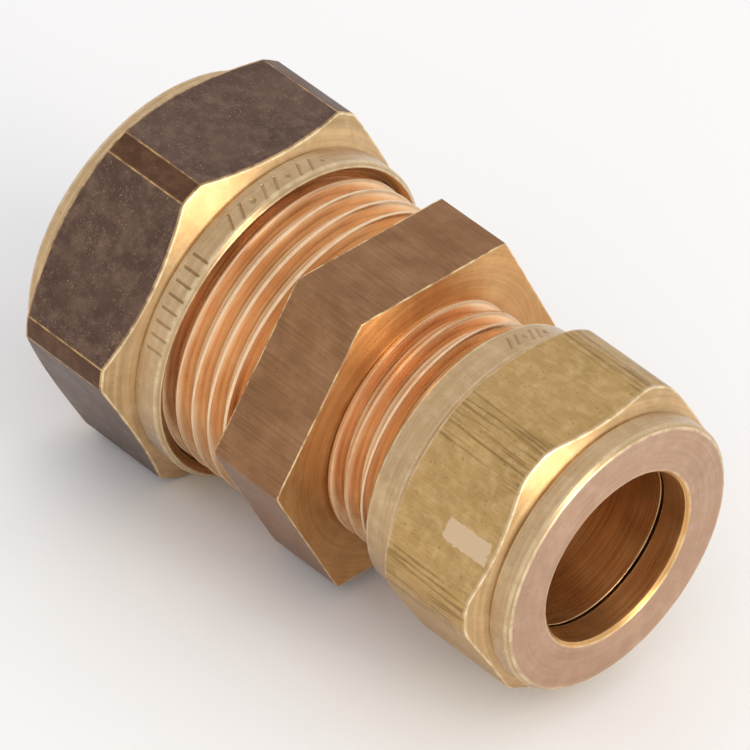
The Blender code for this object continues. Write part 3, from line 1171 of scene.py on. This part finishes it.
@dataclass
class Nut:
    """A compression nut: hexagon, two collars, bore, seat, relief and thread."""

    end: End
    flat: BrassFinish
    corner_finish: BrassFinish
    slot: str
    marks: Sequence[Mark] = ()
    mark_bands: Sequence[tuple[float, float]] = ()
    collar_chamfer: float = 0.35
    groove_depth: float = 0.15
    groove_width: float = 0.25
    mouth_chamfer: float = 0.9
    mouth_clearance: float = 0.03
    dish: float = 0.55  # depth of the countersink at the mouth
    rim_land: float = 0.1
    relief_length: float = 1.8
    relief_ramp: float = 0.7
    relief_start: float = 0.12  # past the countersink
    thread_start: float = 0.01  # past the countersink
    thread_backing: float = 0.15  # of the thread sleeve past the relief, inside the nut's wall
    bore_chamfer: float = 0.3
    edge_blend: float = 0.1  # rounding from flat to corner land
    edge_step: float = 0.3  # degrees between columns beside the corner lands
    edge_rub: float = 1.0  # wear of the long edges beside the corner lands
    edge_rub_width: float = 0.3  # degrees
    corner_land_depth: float = 0.02  # how far below the corner's radius its land still counts

    @property
    def name(self) -> str:
        """Name of the nut's node and body."""
        return f"nut_{self.end.label}"

    def _corner_edges(self) -> list[float]:
        """Finds where the flats change to the corner lands.

        Returns:
            Their azimuths in degrees.
        """
        half = math.degrees(math.acos(self.end.across_flats / 2 / self.end.corner))
        middles = [self.end.flat_azimuth + HEX_STEP * k for k in range(HEX_SIDES)]
        return [middle + side * half for middle in middles for side in (-1, 1)]

    def _edge_wear(self, azimuths: np.ndarray) -> np.ndarray:
        """Wears the long edges beside each corner land.

        Args:
            azimuths: The mesh's columns.

        Returns:
            How bright each column is rubbed.
        """
        wear = np.zeros_like(azimuths)
        for edge in self._corner_edges():
            gap = np.degrees((azimuths - math.radians(edge) + math.pi) % math.tau - math.pi)
            near = np.clip(1.1 - np.abs(gap) / self.edge_rub_width, 0, 1)
            wear = np.maximum(wear, self.edge_rub * near)
        return wear

    def _knots(self, azimuths: np.ndarray) -> list[Knot]:
        """The nut's section at each azimuth.

        Args:
            azimuths: The mesh's columns.

        Returns:
            Knots from the mouth over the outside to the tube's end and back through the bore.
        """
        end = self.end
        mouth, face = end.span(self.name)
        length = abs(face - mouth)
        outside = hexagon_radius(
            azimuths, end.across_flats, end.corner, end.flat_azimuth, self.edge_blend,
        )
        rise = math.tan(math.radians(CHAMFER_DEGREES))
        thread_side, tube_side = end.thread_collar_length, length - end.tube_collar_length
        groove, tube_groove = end.thread_collar - self.groove_depth, end.tube_collar - self.groove_depth
        lean = (end.corner - end.thread_collar) * rise / (end.corner - groove)
        tube_lean = (end.corner - end.tube_collar) * rise / (end.corner - tube_groove)
        lip = length - end.lip
        cone_end = lip - (end.female_minor - end.seat)
        relief_end = cone_end - self.relief_ramp
        rim = end.thread_collar - self.collar_chamfer
        collar_rows = 26 if self.marks else 4
        local = [
            Knot(self.dish, self._widest(), Skin.BORE, cuts=2),
            Knot(0.0, rim - self.rim_land, Skin.COLLAR, 0.03, 0.5),
            Knot(0.0, rim, Skin.COLLAR, 0.05, 0.5),
            Knot(self.collar_chamfer, end.thread_collar, Skin.COLLAR, 0.14, 0.4, collar_rows),
            Knot(thread_side - self.groove_width, end.thread_collar, Skin.COLLAR, 0.05, 0.2),
            Knot(thread_side, groove, Skin.CHAMFER, cuts=3),
            Knot(thread_side + (outside - groove) * lean, outside, Skin.FLAT, 0.14, 0.8, 8),
            Knot(tube_side - (outside - tube_groove) * tube_lean, outside, Skin.CHAMFER, 0.14, 0.8, 3),
            Knot(tube_side, tube_groove, Skin.COLLAR),
            Knot(tube_side + self.groove_width, end.tube_collar, Skin.COLLAR, 0.05, 0.2),
            Knot(length - self.collar_chamfer, end.tube_collar, Skin.COLLAR, 0.12, 0.3),
            Knot(length, end.tube_collar - self.collar_chamfer, Skin.END_FACE, 0.1, 0.6, 4),
            Knot(length, end.bore + self.bore_chamfer, Skin.BORE, 0.06, 0.6),
            Knot(length - self.bore_chamfer, end.bore, Skin.BORE, 0.05, 0.2, 3),
            Knot(lip, end.bore, Skin.BORE, 0.06, 1.0),
            Knot(lip, end.seat, Skin.BORE),
            Knot(cone_end, end.female_minor, Skin.BORE),
            Knot(relief_end, end.relief, Skin.BORE),
            Knot(self.dish + self.relief_start, end.relief, Skin.BORE),
        ]
        return [replace(knot, x=mouth + end.side * knot.x) for knot in local]

    def _widest(self) -> float:
        """Radius of the hole where the countersink meets the thread."""
        return self.end.thread_major + self.end.thread_clearance + self.mouth_clearance

    def build(self, shelf: FinishShelf, threads: ThreadTree) -> None:
        """Makes the nut and its thread, and rides both on the nut's body.

        Args:
            shelf: Where materials come from.
            threads: The tree that cuts threads.
        """
        end = self.end
        azimuths = column_azimuths(COLUMN_STEP, self._corner_edges(), self.edge_step, self.mark_bands)
        materials = {
            Skin.FLAT: shelf.take(self.flat), Skin.CHAMFER: shelf.take(TURNED_CHAMFER),
            Skin.COLLAR: shelf.take(TURNED_COLLAR), Skin.END_FACE: shelf.take(FACED_END),
            Skin.BORE: shelf.take(BORED_BRASS), Skin.CORNER: shelf.take(self.corner_finish),
        }
        mouth, _ = end.span(self.name)
        marks = [replace(mark, x=mouth + end.side * mark.x) for mark in self.marks]
        shell = TurnedMesh(f"{self.name}_shell", azimuths, self._knots(azimuths)).build(
            materials, marks, end.thread_collar, self._edge_wear,
        )
        self._dress_corners(shell, list(materials))
        fasten(shell, self.name, self.name)
        fasten(threads.cut(self._thread(), shelf.take(CUT_THREAD)), self.name)

    def _dress_corners(self, shell: bpy.types.Object, order: list[Skin]) -> None:
        """Gives the corner lands their own finish.

        Args:
            shell: The nut's shell.
            order: Its skins in the order of its materials.
        """
        flat, corner = order.index(Skin.FLAT), order.index(Skin.CORNER)
        reach = (self.end.corner - self.corner_land_depth) * MM
        for face in shell.data.polygons:
            if face.material_index == flat and math.hypot(face.center.y, face.center.z) > reach:
                face.material_index = corner

    def _thread(self) -> ThreadSleeve:
        """Works out the nut's thread.

        Returns:
            Its sizes, from the countersink to the relief.
        """
        end = self.end
        mouth, face = end.span(self.name)
        seat_length = end.lip + (end.female_minor - end.seat)
        inner = abs(face - mouth) - seat_length - self.relief_ramp - self.relief_length
        low, high = sorted(mouth + end.side * x for x in (self.dish + self.thread_start, inner))
        widest = self._widest()
        return ThreadSleeve(
            name=f"{self.name}_thread", side=-1, start=low, end=high, crest_x=end.crest_at_zero(),
            crest_radius=end.thread_major + end.thread_clearance, root_radius=end.female_minor,
            back_radius=end.relief + self.thread_backing, lead_x=mouth + end.side * self.dish,
            lead_radius=widest, lead_slope=(widest - end.thread_minor) / self.mouth_chamfer,
        )


@dataclass
class Body:
    """The coupling's body: hexagon, threaded stubs, tube sockets and waterway."""

    ends: tuple[End, End]
    across_flats: float = 27.0
    corner_blunting: float = 0.07
    corner_blend: float = 0.06
    middle_step: float = 0.15  # degrees between columns along the middle of a flat
    waterway: float = 6.5
    core_share: float = 0.3  # of the stub's end land left to the thread sleeve
    back_share: float = 0.65  # of the same land, as far as the sleeve's back reaches in
    flat_azimuth: float = 90.0
    thread_root: float = 0.5  # how far a thread sleeve runs into the hexagon
    thread_end: float = 0.02  # how far it stops short of the stub's tip

    def _stub(self, end: End) -> tuple[float, float, float, float]:
        """Works out one stub's section.

        Args:
            end: The stub's end of the coupling.

        Returns:
            The tip's place, the core's radius, and the places of the cone's inner end and tube stop.
        """
        tip = end.span("coupling_body")[1]
        core = end.tip_radius - self.core_share * (end.tip_radius - end.mouth_radius)
        cone_length = (end.mouth_radius - end.bore) / math.tan(math.radians(CHAMFER_DEGREES))
        cone = tip - end.side * cone_length
        stop = end.hexagon_face() - end.side * end.socket_depth
        return tip, core, cone, stop

    def _knots(self, azimuths: np.ndarray) -> list[Knot]:
        """The body's section at each azimuth.

        Args:
            azimuths: The mesh's columns.

        Returns:
            Knots from the small tip over the outside to the large tip and back through the waterway.
        """
        small, large = self.ends
        corner = self.across_flats / math.sqrt(3) - self.corner_blunting
        outside = hexagon_radius(
            azimuths, self.across_flats, corner, self.flat_azimuth, self.corner_blend,
        )
        tip, core, cone, stop = self._stub(small)
        large_tip, large_core, large_cone, large_stop = self._stub(large)
        return [
            Knot(tip, small.mouth_radius, Skin.BORE, 0.05, 0.5),
            Knot(tip, core, Skin.BORE),
            Knot(small.hexagon_face(), core, Skin.HEX_FACE, cuts=6),
            Knot(small.hexagon_face(), outside, Skin.FLAT, 0.05, 1.0, 6),
            Knot(large.hexagon_face(), outside, Skin.HEX_FACE, 0.05, 1.0, 6),
            Knot(large.hexagon_face(), large_core, Skin.BORE),
            Knot(large_tip, large_core, Skin.BORE),
            Knot(large_tip, large.mouth_radius, Skin.BORE, 0.03, 0.5),
            Knot(large_cone, large.bore, Skin.BORE, 0.1, 0.2),
            Knot(large_stop, large.bore, Skin.BORE, cuts=3),
            Knot(large_stop, self.waterway, Skin.BORE, 0.15, 0.6),
            Knot(stop, self.waterway, Skin.BORE, 0.15, 0.6),
            Knot(stop, small.bore, Skin.BORE, cuts=3),
            Knot(cone, small.bore, Skin.BORE, 0.1, 0.2),
        ]

    def _thread(self, end: End) -> ThreadSleeve:
        """Works out one stub's thread.

        Args:
            end: The stub's end of the coupling.

        Returns:
            Its sizes, from inside the hexagon to the tip.
        """
        tip = end.span("coupling_body")[1]
        low, high = sorted((
            end.hexagon_face() - end.side * self.thread_root, tip - end.side * self.thread_end,
        ))
        return ThreadSleeve(
            name=f"stub_{end.label}_thread", side=1, start=low, end=high, crest_x=end.crest_at_zero(),
            crest_radius=end.thread_major, root_radius=end.thread_minor,
            back_radius=end.tip_radius - self.back_share * (end.tip_radius - end.mouth_radius),
            lead_x=tip, lead_radius=end.tip_radius, lead_slope=1.0, crest_share=0.13, flank_share=0.7,
        )

    def build(self, shelf: FinishShelf, threads: ThreadTree) -> None:
        """Makes the body and its two threads.

        Args:
            shelf: Where materials come from.
            threads: The tree that cuts threads.
        """
        # Columns also stand close together along the middle of each flat.
        middles = [self.flat_azimuth + HEX_STEP * k for k in range(HEX_SIDES)]
        azimuths = column_azimuths(COLUMN_STEP, middles, self.middle_step)
        materials = {
            Skin.FLAT: shelf.take(DRAWN_BAR), Skin.HEX_FACE: shelf.take(FACED_BRASS),
            Skin.BORE: shelf.take(BORED_BRASS),
        }
        shell = TurnedMesh("coupling_body_shell", azimuths, self._knots(azimuths)).build(materials)
        fasten(shell, "coupling_body", "coupling_body")
        for end in self.ends:
            thread = threads.cut(self._thread(end), shelf.take(CUT_THREAD))
            fasten(thread, "coupling_body")


@dataclass
class Olive:
    """A compression ring with a tapered nose at each end and a slightly barrelled middle."""

    end: End
    edge_rounding: float = 0.12
    column_step: float = 2.0

    def build(self, shelf: FinishShelf) -> None:
        """Makes the olive and rides it on its own body.

        Args:
            shelf: Where materials come from.
        """
        end = self.end
        name = f"olive_{end.label}"
        inner, outer = end.span(name)
        taper = end.side * end.olive_taper
        edge = self.edge_rounding
        knots = [
            Knot(inner, end.bore, Skin.OLIVE, edge / 2, 0.6),
            Knot(inner, end.olive_nose, Skin.OLIVE, edge, 0.4, 2),
            Knot(inner + taper, end.olive_outer, Skin.OLIVE, edge * 3, 0.2, 4),
            Knot(outer - taper, end.olive_outer, Skin.OLIVE, edge * 3, 0.2, 2),
            Knot(outer, end.olive_nose, Skin.OLIVE, edge, 0.4),
            Knot(outer, end.bore, Skin.BORE, edge / 2, 0.8, 4),
        ]
        materials = {Skin.OLIVE: shelf.take(ANNEALED_OLIVE), Skin.BORE: shelf.take(BORED_BRASS)}
        ring = TurnedMesh(f"{name}_ring", column_azimuths(self.column_step), knots).build(materials)
        fasten(ring, name, name)


# ---------------------------------------------------------------- studio


@dataclass(frozen=True)
class Softbox:
    """A rectangular soft light; direction from the object, sizes in metres, power in watts."""

    name: str
    direction: tuple[float, float, float]
    height: float
    power: float
    width: float = 0.2
    distance: float = 0.55
    colour: str = "#fff4e2"

    def build(self) -> None:
        """Makes the light, facing the origin."""
        data = bpy.data.lights.new(self.name, "AREA")
        data.shape = "RECTANGLE"
        data.size, data.size_y, data.energy = self.width, self.height, self.power
        data.color = linear(self.colour)[:3]
        light = bpy.data.objects.new(self.name, data)
        way = Vector(self.direction).normalized()
        light.location = way * self.distance
        light.rotation_euler = way.to_track_quat("Z", "Y").to_euler()
        bpy.context.scene.collection.objects.link(light)


@dataclass
class Studio:
    """Pale floor, soft light and the camera; its distance and aim are in millimetres."""

    azimuth: float = 42.282  # degrees from -Y towards +X
    elevation: float = 40.240
    roll: float = 5.446
    distance: float = 580.57
    aim: tuple[float, float, float] = (-1.091, -0.049, 0.825)
    lens: float = 355.93
    clip: tuple[float, float] = (0.05, 20.0)  # metres
    floor_reach: float = 3.0  # metres from the middle to an edge
    floor_colour: str = "#f6f6f6"
    floor_roughness: float = 0.9
    sky_colour: str = "#f4f4f6"
    softboxes: tuple[Softbox, ...] = (
        Softbox("key_softbox", (0.83, -0.07, 0.55), height=0.5, power=0.8),
        Softbox("low_softbox", (0.97, 0.15, 0.16), height=0.2, power=0.9),
    )

    def build(self, lowest: float) -> None:
        """Makes the floor, the lights, the world and the camera.

        Args:
            lowest: Height that the object stands on, in metres.
        """
        self._floor(lowest)
        for softbox in self.softboxes:
            softbox.build()
        world = bpy.data.worlds.new("studio_world")
        world.use_nodes = True
        background = world.node_tree.nodes["Background"]
        background.inputs["Color"].default_value = linear(self.sky_colour)
        background.inputs["Strength"].default_value = 1.0
        bpy.context.scene.world = world
        bpy.context.scene.view_settings.view_transform = "Standard"
        self._camera()

    def _floor(self, lowest: float) -> None:
        """Makes the floor, a large pale sheet.

        Args:
            lowest: Its height in metres.
        """
        mesh = bpy.data.meshes.new("floor")
        reach = self.floor_reach
        corners = [(x * reach, y * reach, lowest) for x, y in ((-1, -1), (1, -1), (1, 1), (-1, 1))]
        mesh.from_pydata(corners, [], [(0, 1, 2, 3)])
        material = bpy.data.materials.new("matt_pale_board")
        material.use_nodes = True
        shader = material.node_tree.nodes["Principled BSDF"]
        shader.inputs["Base Color"].default_value = linear(self.floor_colour)
        shader.inputs["Roughness"].default_value = self.floor_roughness
        mesh.materials.append(material)
        floor = bpy.data.objects.new("floor", mesh)
        bpy.context.scene.collection.objects.link(floor)
        floor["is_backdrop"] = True

    def _camera(self) -> None:
        """Makes the camera, a long lens looking down on the small end."""
        data = bpy.data.cameras.new("camera")
        data.lens = self.lens
        data.clip_start, data.clip_end = self.clip
        azimuth, elevation = math.radians(self.azimuth), math.radians(self.elevation)
        level = math.cos(elevation)
        away = Vector((math.sin(azimuth) * level, -math.cos(azimuth) * level, math.sin(elevation)))
        look = away.to_track_quat("Z", "Y").to_matrix().to_4x4()
        roll = Matrix.Rotation(math.radians(self.roll), 4, "Z")
        camera = bpy.data.objects.new("camera", data)
        camera.matrix_world = Matrix.Translation((Vector(self.aim) + away * self.distance) * MM) @ look @ roll
        bpy.context.scene.collection.objects.link(camera)
        bpy.context.scene.camera = camera


# ---------------------------------------------------------------- stamped marks


TALLY_BARS = 8
TALLY_START = 165.1  # azimuth of the first bar, in degrees
TALLY_STEP = 4.79
HATCH_LEAN = 28.0  # degrees
HATCH_WIDTH = 0.2
HATCH_DOT = 0.45  # a dot's diameter

def large_nut_marks() -> list[Mark]:
    """Eight tally bars, then a plain hatch of leaning bars and dots where a maker would stamp."""
    tally = [
        Mark(MarkShape.BAR, TALLY_START - TALLY_STEP * k, x=1.25, length=1.75, width=0.16)
        for k in range(TALLY_BARS)
    ]
    return tally + hatch(9, azimuth=117.0, step=5.0, x=1.25, length=1.6)


def small_nut_marks() -> list[Mark]:
    """A short plain hatch on the small nut."""
    return hatch(6, azimuth=85.0, step=4.0, x=1.6, length=1.4)


def hatch(count: int, azimuth: float, step: float, x: float, length: float) -> list[Mark]:
    """A row of leaning bars with a dot after every second one.

    Args:
        count: How many marks.
        azimuth: Azimuth of the first, in degrees.
        step: Degrees between two.
        x: Distance from the nut's mouth.
        length: Length of a bar.

    Returns:
        The marks, in order.
    """
    row = []
    for k in range(count):
        place = azimuth - step * k
        if k % 3 == 2:
            row.append(Mark(MarkShape.DOT, place, x, HATCH_DOT))
        else:
            row.append(Mark(MarkShape.BAR, place, x, length, HATCH_WIDTH, HATCH_LEAN))
    return row


def main() -> None:
    """Builds the studio and the coupling, piece by piece."""
    logging.basicConfig(level=logging.INFO, format="%(name)s: %(message)s")
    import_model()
    low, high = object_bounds()
    Studio().build(low.z)
    shelf, threads = FinishShelf(), ThreadTree()
    Body((SMALL_END, LARGE_END)).build(shelf, threads)
    Nut(
        SMALL_END, flat=SATIN_BAR, corner_finish=SATIN_BAR, slot="satin_brass",
        marks=small_nut_marks(), mark_bands=[(61.0, 89.0)], edge_blend=0.5, edge_rub=0.0,
    ).build(shelf, threads)
    Nut(
        LARGE_END, flat=FORGED_OXIDE, corner_finish=FORGED_CORNER, slot="oxidised_brass",
        marks=large_nut_marks(), mark_bands=[(129.0, 168.0), (70.0, 121.0)],
    ).build(shelf, threads)
    for end in (SMALL_END, LARGE_END):
        Olive(end).build(shelf)
    low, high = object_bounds()


if __name__ == "__main__":
    main()
